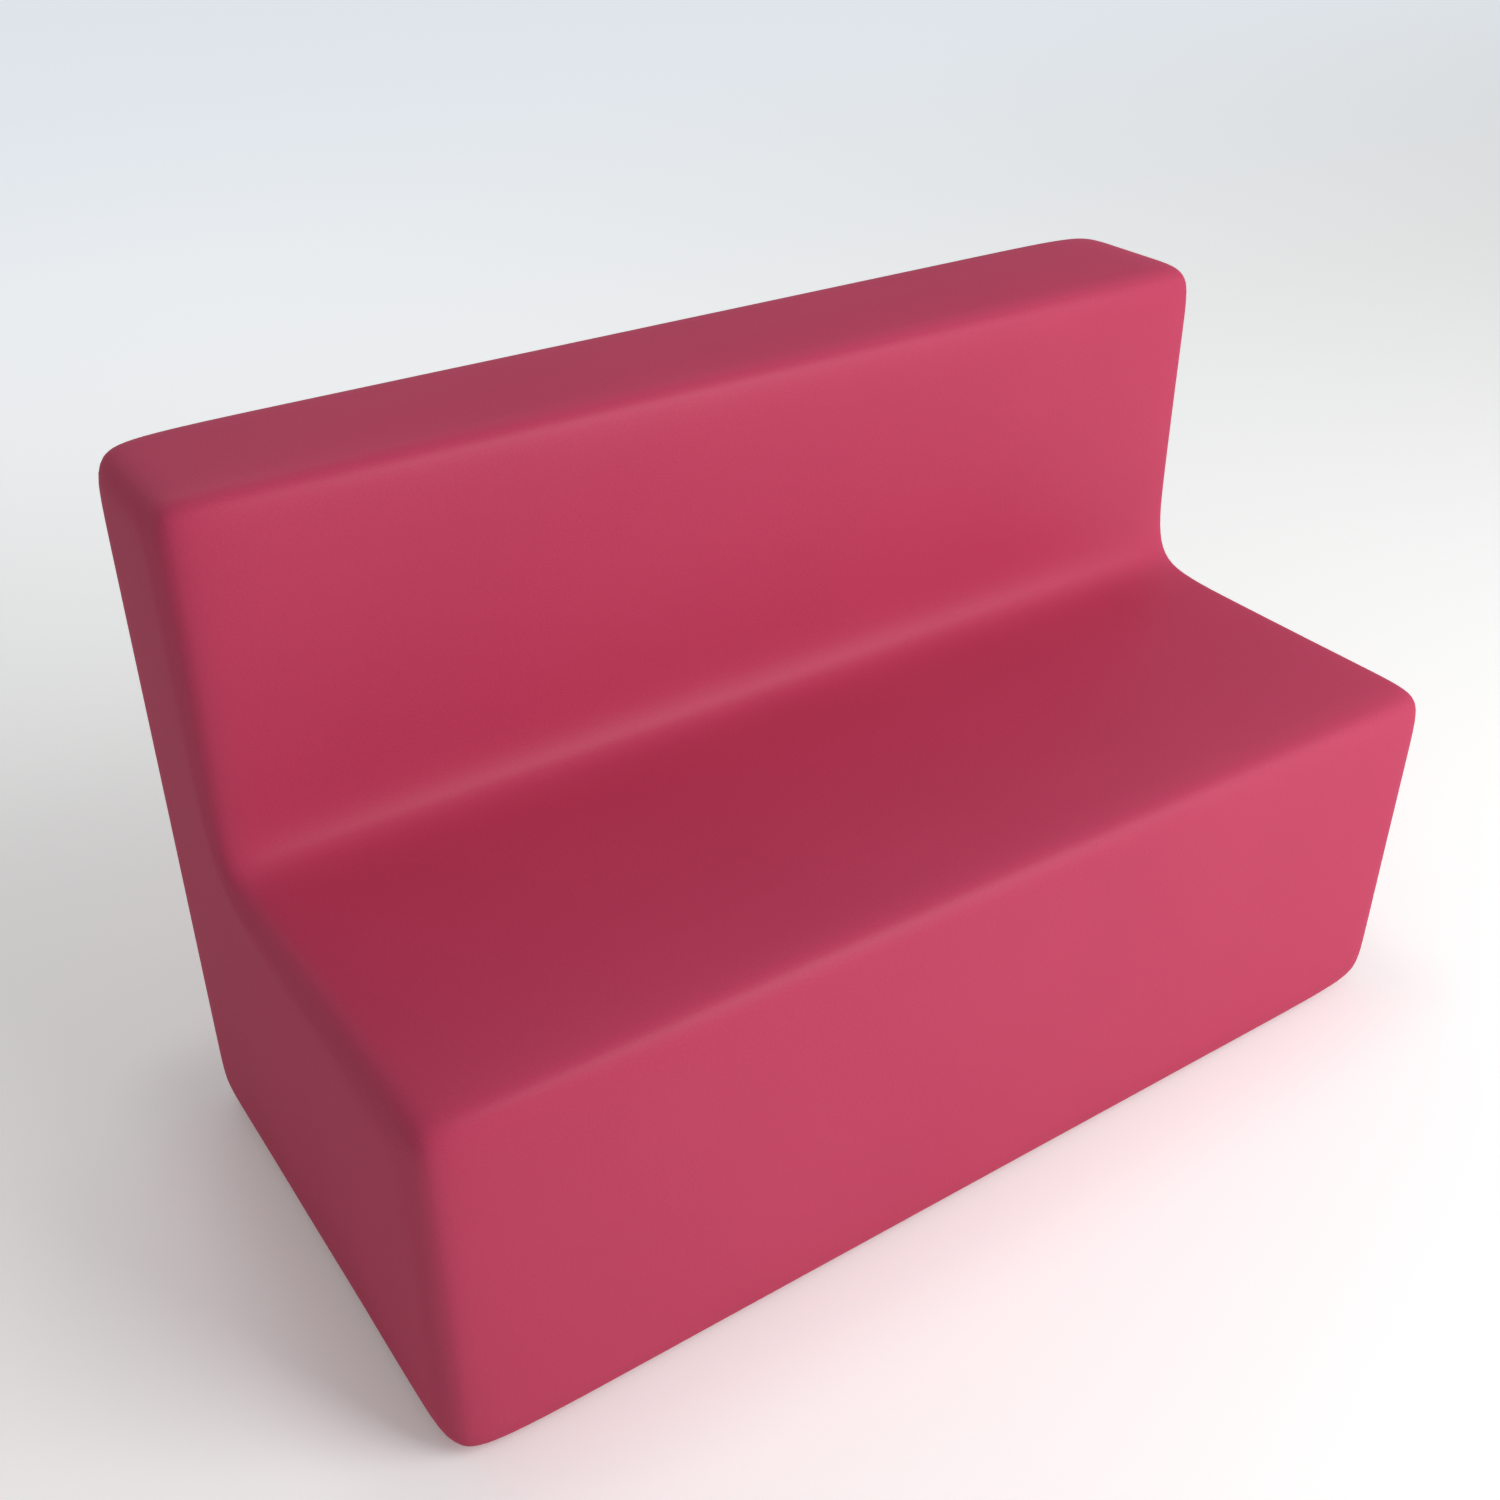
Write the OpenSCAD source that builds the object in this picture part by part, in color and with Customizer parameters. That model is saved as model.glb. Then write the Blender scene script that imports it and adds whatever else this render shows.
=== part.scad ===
// Block sofa with an undivided bench seat and an upright back, softly rounded all over.
// A plywood and timber frame with elastic webbing carries foam under a one-piece stretch cover.
// X runs along the seat, the front faces -Y and Z is up. The origin is on the floor, under the middle.

/* [Overall] */
// Width over the cover
sofa_w = 1350; // [1200:10:1800]
// Depth over the cover
sofa_d = 668; // [620:1:760]
// Height of the seat above the floor
seat_h = 451; // [410:1:500]
// Height of the back above the floor
back_h = 857; // [780:1:950]
// Thickness of the back over the cover
back_t = 216; // [210:1:260]

/* [Softness of the form] */
// How far the rounding of the outer edges reaches from the corner
edge_soft = 57; // [40:1:62]
// How far the rounding of the ends reaches along the width
end_soft = 90; // [60:1:110]
// How far the rounding of the ends reaches in on the end faces
end_in = 60; // [50:1:66]
// How far the hollow between seat and back reaches from the corner
crease_soft = 95; // [80:1:140]
// How far that hollow reaches on the end faces
crease_end = 200; // [150:5:240]
// How much of the bottom rounding is pressed flat on the underside
sole_press = 4.5; // [4:0.5:6]
// Facets in each half of a rounded corner
corner_steps = 3; // [3:1:4]

/* [Cover] */
// Thickness of the stretch cover
cover_t = 2; // [1.2:0.1:2.4]
// How far the cover is turned in under the frame
cover_fold = 20; // [14:1:21]
// Thickness of the dust cloth on the underside
base_cloth_t = 0.5; // [0.3:0.1:0.8]
// How far the dust cloth stays inside the frame
base_cloth_in = 8; // [4:1:12]

/* [Foam] */
// Seat foam
seat_foam_t = 100; // [80:5:120]
// Foam in front of the back frame
back_foam_t = 70; // [55:5:80]
// Foam on top of the back
top_foam_t = 50; // [40:5:60]
// Foam on the ends
end_foam_t = 50; // [46:2:60]
// Foam on the front
front_foam_t = 50; // [46:2:60]
// Foam on the rear
rear_foam_t = 50; // [46:2:56]

/* [Frame] */
// Plywood end panels
panel_t = 18; // [15:1:22]
// Plywood ribs
rib_t = 18; // [12:1:22]
// Boards under the foam
board_t = 4; // [3:0.5:6]
// Thickness of the rails
rail_t = 25; // [20:1:30]
// Width of the rails
rail_w = 60; // [50:1:70]
// How far the ribs stay below the seat webbing
rib_drop = 45; // [35:1:48]
// Radius of the round holes in the lower part of a rib
rib_hole_r = 52; // [30:1:56]
// Radius of the round holes in the upper part of a rib
back_hole_r = 20; // [12:1:24]
// Side of the glued corner blocks
block_side = 45; // [30:1:60]
// Height of the glued corner blocks
block_h = 40; // [25:1:48]

/* [Webbing] */
// Thickness of the elastic webbing
web_t = 2; // [1.2:0.1:2.4]
// Width of the elastic webbing
web_w = 70; // [50:1:75]
// Strips from front to rear
seat_webs = 9; // [7:1:10]
// Strips from side to side
cross_webs = 3; // [2:1:4]
// Strips across the back
back_webs = 4; // [3:1:5]
// Thickness of the cloth over the seat webbing
lining_t = 0.5; // [0.3:0.1:0.8]

/* [Glides and screws] */
// Height of the glides
glide_h = 5; // [4:0.5:10]
// Radius of the glides
glide_r = 16; // [12:0.5:17]
// Distance from the frame's front and rear to the middle of a glide
glide_in = 39; // [38:0.5:42]
// Glides on each base rail
glides_per_rail = 4; // [3:1:5]
// Radius of the glide screws
glide_screw_r = 2; // [1.5:0.1:2.5]
// Length of the glide screws
glide_screw_l = 22; // [16:1:26]
// Radius of the frame screws
frame_screw_r = 2.5; // [2:0.1:3]
// Length of the frame screws
frame_screw_l = 60; // [50:1:80]

/* [Hidden] */
$fn = 32;

// Colours
crimson = "#BC4062";
foam_white = "#E9E2CF";
plywood = "#D9B98A";
pine = "#E2C48F";
board_brown = "#9A7450";
web_black = "#2B2B2D";
cloth_black = "#1F1F21";
steel = "#B9BCC0";

// Clearances
fit_gap = 0.3;
screw_gap = 0.1;
weave_gap = 0.2;
overrun = 1;
beyond = sofa_w;

// Planes that everything lines up with, from the outside in
skin = cover_t + fit_gap;
sole_z = glide_h + base_cloth_t;
front_y = -sofa_d / 2;
rear_y = sofa_d / 2;
face_y = rear_y - back_t;
frame_x = sofa_w / 2 - skin - end_foam_t;
inner_x = frame_x - panel_t;
board_y0 = front_y + skin + front_foam_t;
frame_y0 = board_y0 + board_t;
board_y1 = rear_y - skin - rear_foam_t;
frame_y1 = board_y1 - board_t;
web_y = face_y + skin + back_foam_t;
back_y0 = web_y + fit_gap + web_t;
frame_z0 = sole_z + cover_t;
foam_z0 = sole_z + skin;
seat_foam_z = seat_h - skin - seat_foam_t;
weave_lift = (web_t + weave_gap) / 2;
deck_z = seat_foam_z - lining_t - web_t - weave_lift - weave_gap;
board_z1 = back_h - skin - top_foam_t;
frame_z1 = board_z1 - board_t;
seat_cut = seat_h - skin - fit_gap;
face_cut = face_y + skin + fit_gap;

// The hollow's foam strip ends where the hollow is about a millimetre deep
cove_share = 0.68;
cove_w = crease_soft * cove_share;

// Rails as the place and size of their cross-sections
front_base = [frame_y0, frame_z0, rail_w, rail_t];
rear_base = [frame_y1 - rail_w, frame_z0, rail_w, rail_t];
front_seat = [frame_y0, deck_z - rail_w, rail_t, rail_w];
rear_seat = [back_y0, deck_z - rail_w, rail_t, rail_w];
rear_middle = [frame_y1 - rail_t, deck_z - rail_w, rail_t, rail_w];
top_front = [back_y0, frame_z1 - rail_w, rail_t, rail_w];
top_rear = [frame_y1 - rail_t, frame_z1 - rail_w, rail_t, rail_w];
RAILS = [front_base, rear_base, front_seat, rear_seat, rear_middle, top_front, top_rear];
screw_share = 0.25;
head_share = 2;
frame_head_r = frame_screw_r * head_share;
glide_head_r = glide_screw_r * head_share;

// Ribs stand between the three places
rib_share = 1 / 6;
rib_x = sofa_w * rib_share;
rib_holes = 3;

// Glides
glide_x = frame_x - frame_screw_l - glide_r;
glide_edge_h = 2;
glide_foot_r = glide_r - glide_edge_h;
glide_boss_r = glide_r / 2;
glide_sink = 1;
block_drop = 10;
web_end_in = 3;
web_flat = 3;

// Shape of a smooth cubic blend through four neighbouring control points
function blend(t) = [
    (1 - t) * (1 - t) * (1 - t),
    3 * t * t * t - 6 * t * t + 4,
    -3 * t * t * t + 3 * t * t + 3 * t + 1,
    t * t * t
] / 6;

function mixed(p, i, t) =
    let (n = len(p), w = blend(t))
    w[0] * p[(i + n - 1) % n] + w[1] * p[i] + w[2] * p[(i + 1) % n] + w[3] * p[(i + 2) % n];

// Control outline of the side view: three points at each corner, a distance inside the cover's outside
// and a further distance in on the end face, with the reach of the hollow there
function side_controls(inside, in, hollow) =
    let (
        f = front_y + inside + in,
        s = sole_z - sole_press + inside + in,
        h = seat_h - inside - in,
        c = face_y + inside + in,
        t = back_h - inside - in,
        r = rear_y - inside - in,
        e = edge_soft,
        k = min(hollow, t - h - e),
        w = min(edge_soft, (r - c) / 2)
    )
    [
        [f + e, s], [f, s], [f, s + e],
        [f, h - e], [f, h], [f + e, h],
        [c - k, h], [c, h], [c, h + k],
        [c, t - e], [c, t], [c + w, t],
        [r - w, t], [r, t], [r, t - e],
        [r, s + e], [r, s], [r - e, s]
    ];

// The third span of each corner is straight, so it needs one step
function steps_of(i) = i % 3 == 2 ? 1 : corner_steps;

function side_outline(inside, in, hollow) =
    let (p = side_controls(inside, in, hollow))
    [for (i = [0 : len(p) - 1]) for (s = [0 : steps_of(i) - 1]) mixed(p, i, s / steps_of(i))];

// Place along X, distance in on the end face and reach of the hollow, from the sofa's middle to its end
reach_share = 1.6;
half_share = 0.45;
end_reach = min(end_in * reach_share, back_t * half_share);

function end_controls(inside) =
    let (x = sofa_w / 2 - inside)
    [
        [end_soft - x, 0, crease_soft], [x - end_soft, 0, crease_soft], [x, 0, crease_soft],
        [x, end_in, crease_end], [x, end_reach, crease_end]
    ];

function end_stations(inside) =
    let (p = end_controls(inside))
    [for (i = [1, 2]) for (s = [0 : corner_steps + i - 2]) mixed(p, i, s / corner_steps)];

function reversed(list) = [for (i = [len(list) - 1 : -1 : 0]) list[i]];

// The whole sofa's form, a distance inside the cover's outside
module form(inside) {
    right = end_stations(inside);
    stations = concat([for (s = reversed(right)) [-s[0], s[1], s[2]]], right);
    n = len(side_outline(inside, 0, crease_soft));
    m = len(stations);
    end_x = sofa_w / 2 - inside;
    hub_y = (face_y + rear_y) / 2;
    hub_z = (sole_z + seat_h) / 2;
    points = concat(
        [for (s = stations) for (p = side_outline(inside, s[1], s[2])) [s[0], p[0], p[1]]],
        [[-end_x, hub_y, hub_z], [end_x, hub_y, hub_z]]
    );
    walls = [for (i = [0 : m - 2]) for (j = [0 : n - 1]) for (half = [0, 1])
        let (a = i * n + j, b = i * n + (j + 1) % n)
        half == 0 ? [a, b, b + n] : [a, b + n, a + n]];
    left_cap = [for (j = [0 : n - 1]) [m * n, (j + 1) % n, j]];
    right_cap = [for (j = [0 : n - 1]) [m * n + 1, (m - 1) * n + j, (m - 1) * n + (j + 1) % n]];
    polyhedron(points = points, faces = concat(walls, left_cap, right_cap), convexity = 6);
}

// A box between two corners
module slab(low, high) {
    translate(low)
        cube(high - low);
}

// The part of the form that lies in a box
module foam(low, high) {
    color(foam_white)
        intersection() {
            form(skin);
            slab(low, high);
        }
}

// One-piece cover, open underneath inside the fold
module cover() {
    color(crimson)
        difference() {
            intersection() {
                form(0);
                slab([-beyond, -beyond, sole_z], [beyond, beyond, beyond]);
            }
            intersection() {
                form(cover_t);
                slab([-beyond, -beyond, frame_z0], [beyond, beyond, beyond]);
            }
            slab(
                [cover_fold - frame_x, frame_y0 + cover_fold, sole_z - overrun],
                [frame_x - cover_fold, frame_y1 - cover_fold, frame_z0 + overrun]
            );
        }
}

module seat_foam() {
    foam([-beyond, -beyond, seat_foam_z], [beyond, web_y, seat_cut]);
}

module back_foam() {
    foam([-beyond, face_cut, seat_cut], [beyond, web_y, board_z1]);
}

module crease_cove() {
    foam([-beyond, face_cut - cove_w, seat_cut], [beyond, face_cut, seat_cut + cove_w]);
}

module front_foam() {
    foam([-beyond, -beyond, foam_z0], [beyond, board_y0, seat_foam_z]);
}

module rear_foam() {
    foam([-beyond, board_y1, foam_z0], [beyond, beyond, board_z1]);
}

module top_foam() {
    foam([-beyond, -beyond, board_z1], [beyond, beyond, beyond]);
}

// Foam on one end, between two heights and from one plane to the rear board
module end_foam(side, y0, z0, z1) {
    x0 = side < 0 ? -beyond : frame_x;
    x1 = side < 0 ? -frame_x : beyond;
    foam([x0, y0, z0], [x1, board_y1, z1]);
}

module left_lower_foam() {
    end_foam(-1, board_y0, foam_z0, seat_foam_z);
}

module right_lower_foam() {
    end_foam(1, board_y0, foam_z0, seat_foam_z);
}

module left_upper_foam() {
    end_foam(-1, web_y, seat_foam_z, board_z1);
}

module right_upper_foam() {
    end_foam(1, web_y, seat_foam_z, board_z1);
}

// A countersunk screw along +Z with its head's face at zero
module screw(r, head_r, l) {
    rotate_extrude()
        polygon([[0, 0], [head_r, 0], [r, head_r - r], [r, l - r], [0, l]]);
}

// The hole that such a screw sits in
module screw_hole(r, head_r, l) {
    rotate_extrude()
        polygon([
            [0, -overrun], [head_r + screw_gap, -overrun], [head_r + screw_gap, 0],
            [r + screw_gap, head_r - r], [r + screw_gap, l + screw_gap], [0, l + screw_gap]
        ]);
}

// Puts its children at each frame screw of one end, with +Z pointing into the frame
module at_frame_screws(side, rails) {
    for (rail = rails) {
        for (end = [-1, 1]) {
            flat = rail[2] > rail[3] ? 1 : 0;
            y = rail[0] + rail[2] / 2 + flat * end * rail[2] * screw_share;
            z = rail[1] + rail[3] / 2 + (1 - flat) * end * rail[3] * screw_share;
            translate([side * frame_x, y, z])
                rotate([0, -side * 90, 0])
                    children();
        }
    }
}

// Turns an outline in Y and Z into a plate of a thickness that starts at a place along X
module plate(x, t) {
    translate([x, 0, 0])
        rotate([90, 0, 90])
            linear_extrude(height = t)
                children();
}

module end_panel(side) {
    color(plywood)
        difference() {
            plate(side < 0 ? -frame_x : inner_x, panel_t)
                polygon([
                    [frame_y0, frame_z0], [frame_y1, frame_z0], [frame_y1, frame_z1],
                    [back_y0, frame_z1], [back_y0, deck_z], [frame_y0, deck_z]
                ]);
            at_frame_screws(side, RAILS)
                screw_hole(frame_screw_r, frame_head_r, frame_screw_l);
        }
}

module left_end_panel() {
    end_panel(-1);
}

module right_end_panel() {
    end_panel(1);
}

// A rib with round holes, notched for each rail and kept clear of the webbing
module rib(x) {
    low_top = deck_z - rib_drop;
    high_y0 = back_y0 + rail_t;
    pitch = (frame_y1 - frame_y0) / rib_holes;
    high_y = (high_y0 + frame_y1) / 2;
    high_pitch = (frame_z1 - rail_w - deck_z) / rib_holes;
    color(plywood)
        plate(x - rib_t / 2, rib_t)
            difference() {
                polygon([
                    [frame_y0, frame_z0], [frame_y1, frame_z0], [frame_y1, frame_z1],
                    [high_y0, frame_z1], [high_y0, low_top], [frame_y0, low_top]
                ]);
                for (rail = RAILS)
                    translate([rail[0], rail[1]])
                        square([rail[2], rail[3]]);
                for (i = [0 : rib_holes - 1]) {
                    translate([frame_y0 + pitch * (i + 0.5), (frame_z0 + rail_t + low_top) / 2])
                        circle(rib_hole_r);
                    translate([high_y, deck_z + high_pitch * (i + 0.5)])
                        circle(back_hole_r);
                }
            }
}

module left_rib() {
    rib(-rib_x);
}

module right_rib() {
    rib(rib_x);
}

// A rail between the end panels, bored for its screws
module rail_between(rail) {
    color(pine)
        difference() {
            slab([-inner_x, rail[0], rail[1]], [inner_x, rail[0] + rail[2], rail[1] + rail[3]]);
            for (side = [-1, 1])
                at_frame_screws(side, [rail])
                    screw_hole(frame_screw_r, frame_head_r, frame_screw_l);
            children();
        }
}

// Puts its children at each glide of one base rail, with +Z pointing up from the floor
module at_glides(y) {
    pitch = 2 * glide_x / (glides_per_rail - 1);
    for (i = [0 : glides_per_rail - 1])
        translate([i * pitch - glide_x, y, 0])
            children();
}

module glide_screw_hole() {
    translate([0, 0, glide_sink])
        screw_hole(glide_screw_r, glide_head_r, glide_screw_l);
}

module front_base_rail() {
    rail_between(front_base)
        at_glides(frame_y0 + glide_in)
            glide_screw_hole();
}

module rear_base_rail() {
    rail_between(rear_base)
        at_glides(frame_y1 - glide_in)
            glide_screw_hole();
}

module front_seat_rail() {
    rail_between(front_seat);
}

module rear_seat_rail() {
    rail_between(rear_seat);
}

module rear_middle_rail() {
    rail_between(rear_middle);
}

module top_front_rail() {
    rail_between(top_front);
}

module top_rear_rail() {
    rail_between(top_rear);
}

module front_board() {
    color(board_brown)
        slab([-frame_x, board_y0, frame_z0], [frame_x, frame_y0, seat_foam_z - lining_t]);
}

module rear_board() {
    color(board_brown)
        slab([-frame_x, frame_y1, frame_z0], [frame_x, board_y1, frame_z1]);
}

module top_board() {
    color(board_brown)
        slab([-frame_x, web_y, frame_z1], [frame_x, board_y1, board_z1]);
}

// Triangular block in the corner between an end panel and a rail
module corner_block(sx, sy, y, z) {
    a = [0, 0];
    b = [sx * block_side, 0];
    c = [0, sy * block_side];
    translate([-sx * inner_x, y, z])
        linear_extrude(height = block_h)
            polygon(sx * sy > 0 ? [a, b, c] : [a, c, b]);
}

module corner_blocks() {
    color(pine)
        for (sx = [-1, 1]) {
            corner_block(sx, 1, frame_y0 + rail_t, deck_z - block_drop - block_h);
            corner_block(sx, -1, back_y0, deck_z - block_drop - block_h);
            corner_block(sx, 1, frame_y0 + rail_w, frame_z0);
            corner_block(sx, -1, frame_y1 - rail_w, frame_z0);
        }
}

module frame_screws() {
    color(steel)
        for (side = [-1, 1])
            at_frame_screws(side, RAILS)
                screw(frame_screw_r, frame_head_r, frame_screw_l);
}

// Where the strips of the seat lie
web_half = web_w / 2 + web_flat;
function web_x(i) = inner_x * ((2 * i + 1) / seat_webs - 1);
function web_cross_y(k) = frame_y0 + rail_t + (back_y0 - frame_y0 - rail_t) * (2 * k + 1) / (2 * cross_webs);

// A strip's outline from its middle line
function ribbon(path) = concat(
    [for (p = path) [p[0], p[1] - web_t / 2]],
    [for (p = reversed(path)) [p[0], p[1] + web_t / 2]]
);

// A strip's middle line, over and under the strips that cross it
function woven(ends, crossings, first) = concat(
    [[ends[0], 0], [ends[1], 0]],
    [for (k = [0 : len(crossings) - 1]) for (s = [-1, 1])
        [crossings[k] + s * web_half, (k % 2 == 0 ? first : -first) * weave_lift]],
    [[ends[2], 0], [ends[3], 0]]
);

module seat_webbing() {
    ends = [frame_y0 + web_end_in, frame_y0 + rail_t, back_y0, back_y0 + rail_t - web_end_in];
    crossings = [for (k = [0 : cross_webs - 1]) web_cross_y(k)];
    color(web_black)
        for (i = [0 : seat_webs - 1])
            translate([0, 0, deck_z + web_t / 2])
                plate(web_x(i) - web_w / 2, web_w)
                    polygon(ribbon(woven(ends, crossings, i % 2 == 0 ? 1 : -1)));
}

module seat_cross_webbing() {
    ends = [web_end_in - frame_x, -inner_x, inner_x, frame_x - web_end_in];
    crossings = [for (i = [0 : seat_webs - 1]) web_x(i)];
    color(web_black)
        for (k = [0 : cross_webs - 1])
            translate([0, web_cross_y(k) + web_w / 2, deck_z + web_t / 2])
                rotate([90, 0, 0])
                    linear_extrude(height = web_w)
                        polygon(ribbon(woven(ends, crossings, k % 2 == 0 ? -1 : 1)));
}

module back_webbing() {
    pitch = (frame_z1 - deck_z) / back_webs;
    color(web_black)
        for (i = [0 : back_webs - 1]) {
            z = deck_z + pitch * (i + 0.5);
            slab(
                [web_end_in - frame_x, back_y0 - web_t, z - web_w / 2],
                [frame_x - web_end_in, back_y0, z + web_w / 2]
            );
        }
}

module seat_lining() {
    color(cloth_black)
        slab([-frame_x, board_y0, seat_foam_z - lining_t], [frame_x, web_y, seat_foam_z]);
}

module base_cloth() {
    in = base_cloth_in;
    color(cloth_black)
        difference() {
            slab([in - frame_x, frame_y0 + in, glide_h], [frame_x - in, frame_y1 - in, sole_z]);
            for (y = [frame_y0 + glide_in, frame_y1 - glide_in])
                at_glides(y)
                    translate([0, 0, glide_h - overrun])
                        cylinder(r = glide_boss_r + fit_gap, h = base_cloth_t + 2 * overrun);
        }
}

// A plastic disc with a boss that seats on the rail and a sink for the screw's head
module glide() {
    bore_r = glide_screw_r + screw_gap;
    sink_r = glide_head_r + screw_gap;
    rotate_extrude()
        polygon([
            [sink_r, 0], [glide_foot_r, 0], [glide_r, glide_edge_h], [glide_r, glide_h],
            [glide_boss_r, glide_h], [glide_boss_r, frame_z0], [bore_r, frame_z0],
            [bore_r, glide_sink + sink_r - bore_r], [sink_r, glide_sink]
        ]);
}

module glides() {
    color(cloth_black)
        for (y = [frame_y0 + glide_in, frame_y1 - glide_in])
            at_glides(y)
                glide();
}

module glide_screws() {
    color(steel)
        for (y = [frame_y0 + glide_in, frame_y1 - glide_in])
            at_glides(y)
                translate([0, 0, glide_sink])
                    screw(glide_screw_r, glide_head_r, glide_screw_l);
}

cover();
seat_foam();
back_foam();
crease_cove();
front_foam();
rear_foam();
top_foam();
left_lower_foam();
right_lower_foam();
left_upper_foam();
right_upper_foam();
left_end_panel();
right_end_panel();
left_rib();
right_rib();
front_base_rail();
rear_base_rail();
front_seat_rail();
rear_seat_rail();
rear_middle_rail();
top_front_rail();
top_rear_rail();
front_board();
rear_board();
top_board();
corner_blocks();
frame_screws();
seat_webbing();
seat_cross_webbing();
back_webbing();
seat_lining();
base_cloth();
glides();
glide_screws();
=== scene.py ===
import math

import bmesh
import bpy
import numpy as np
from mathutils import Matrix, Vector, geometry


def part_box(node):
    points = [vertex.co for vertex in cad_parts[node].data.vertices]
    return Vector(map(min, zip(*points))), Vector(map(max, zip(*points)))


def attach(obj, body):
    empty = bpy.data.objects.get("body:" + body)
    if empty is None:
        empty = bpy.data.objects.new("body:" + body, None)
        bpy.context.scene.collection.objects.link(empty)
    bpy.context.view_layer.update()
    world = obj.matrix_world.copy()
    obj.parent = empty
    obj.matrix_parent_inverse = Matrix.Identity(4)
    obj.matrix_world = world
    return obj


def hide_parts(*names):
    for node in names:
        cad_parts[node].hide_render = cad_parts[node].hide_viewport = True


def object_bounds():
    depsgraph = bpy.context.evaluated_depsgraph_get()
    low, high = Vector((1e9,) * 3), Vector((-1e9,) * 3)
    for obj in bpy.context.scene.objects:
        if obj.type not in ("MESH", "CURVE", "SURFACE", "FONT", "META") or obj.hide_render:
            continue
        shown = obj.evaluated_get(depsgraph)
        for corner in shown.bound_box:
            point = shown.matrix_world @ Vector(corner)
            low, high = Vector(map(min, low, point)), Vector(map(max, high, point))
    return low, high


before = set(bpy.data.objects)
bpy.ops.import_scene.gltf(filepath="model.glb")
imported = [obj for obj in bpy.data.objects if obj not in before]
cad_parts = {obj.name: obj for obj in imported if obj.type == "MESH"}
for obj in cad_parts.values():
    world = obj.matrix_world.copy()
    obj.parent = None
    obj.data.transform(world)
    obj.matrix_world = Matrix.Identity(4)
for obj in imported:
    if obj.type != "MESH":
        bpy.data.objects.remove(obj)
cad_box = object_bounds()
scene = bpy.context.scene
scene.view_settings.view_transform = "Standard"


# ---- Camera ---------------------------------------------------------------------------------
# A camera at standing height, in front of the sofa's left end, looking down at it.
# Its place and lens follow from the sofa's outline in the photograph.

cam_data = bpy.data.cameras.new("camera")
cam_data.sensor_width = 36
cam_data.lens = 41.349
cam = bpy.data.objects.new("camera", cam_data)
cam.location = (-1.0277, -1.3565, 1.4946)
cam.rotation_euler = (math.pi / 2 - 0.5601, 0, -0.5978)
scene.collection.objects.link(cam)
scene.camera = cam


# ---- Floor and studio light -----------------------------------------------------------------
# A wide matt floor with no horizon in view, white near the sofa and cooler far behind it.
# Two large soft lamps stand to the right in front, one above the other, a weak one stands behind,
# and the room adds an even fill.

def paint(code):
    """A colour written as an sRGB hex value, as linear RGBA."""
    srgb = [int(code[i:i + 2], 16) / 255 for i in (1, 3, 5)]
    return tuple(c / 12.92 if c <= 0.04045 else ((c + 0.055) / 1.055) ** 2.4 for c in srgb) + (1,)


def add(tree, kind, values=(), links=(), **settings):
    """A node with its settings, the values of its inputs and the links into it.

    An input is given by its name or its place. In a Map Range, 1 to 4 are From Min, From Max, To Min
    and To Max. In a colour Mix, 0 is the factor, and 6 and 7 are the two colours.
    """
    made = tree.nodes.new(kind)
    for name, value in settings.items():
        setattr(made, name, value)
    for name, value in dict(values).items():
        made.inputs[name].default_value = value
    for name, source in dict(links).items():
        tree.links.new(source, made.inputs[name])
    return made


def bare_material(name):
    """A material with an empty node tree."""
    made = bpy.data.materials.new(name)
    made.use_nodes = True
    made.node_tree.nodes.clear()
    return made


floor_half = 16.0
floor_mesh = bpy.data.meshes.new("floor")
floor_corners = [(x * floor_half, y * floor_half, 0) for x, y in ((-1, -1), (1, -1), (1, 1), (-1, 1))]
floor_mesh.from_pydata(floor_corners, [], [(0, 1, 2, 3)])
floor = bpy.data.objects.new("floor", floor_mesh)
scene.collection.objects.link(floor)

# Matt white studio floor: it keeps the sofa's shadow. Its own weak glow, seen by the camera and in
# reflections only, is bluish far behind. It fades towards the sofa's foot, a painted shade that keeps the
# contact shadow dark, and it is weaker left of the sofa, a painted shade where the sofa's shadow falls.
# Past the part that the photograph shows, the floor turns into the wall's colour, so no edge shows.
wall_tone = paint("#E6EBF2")
near_tone, far_tone = paint("#FCFFFB"), paint("#E8F3FF")
# The glow's level left of the sofa, lower there as a painted shade, right of it, and far behind
glow_left_in_painted_shade, glow_right, glow_far = 0.199, 0.236, 0.469
# Painted shade at the sofa's foot: the share of the glow left there, and how far from there it is whole
# again
painted_shade_glow_share, painted_shade_reach = 0.58, 0.15
# The middle of the part shown, how far round it the floor keeps its look, and where it is all wall
shown_middle, shown_reach, wall_from = (2.8, 3.5, 0), 6.4, 8.0
studio_floor = bare_material("studio floor, matt white")
t = studio_floor.node_tree
place = add(t, "ShaderNodeTexCoord")
split = add(t, "ShaderNodeSeparateXYZ", links={0: place.outputs["Object"]})
far = add(t, "ShaderNodeMapRange", {1: -0.5, 2: 6.0}, {0: split.outputs[1]}, interpolation_type="SMOOTHSTEP")
# Painted shade: left of the sofa, where its shadow falls, the glow is weaker
right = add(t, "ShaderNodeMapRange", {1: -0.85, 2: -0.35, 3: glow_left_in_painted_shade, 4: glow_right},
            {0: split.outputs[0]}, interpolation_type="SMOOTHSTEP")
level = add(t, "ShaderNodeMapRange", {4: glow_far}, {0: far.outputs[0], 3: right.outputs[0]})
half = add(t, "ShaderNodeVectorMath", links={0: place.outputs["Object"]}, operation="ABSOLUTE")
off = add(t, "ShaderNodeVectorMath", {1: cad_box[1]}, {0: half.outputs[0]}, operation="SUBTRACT")
outside = add(t, "ShaderNodeVectorMath", links={0: off.outputs[0]}, operation="MAXIMUM")
away = add(t, "ShaderNodeVectorMath", links={0: outside.outputs[0]}, operation="LENGTH")
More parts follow.
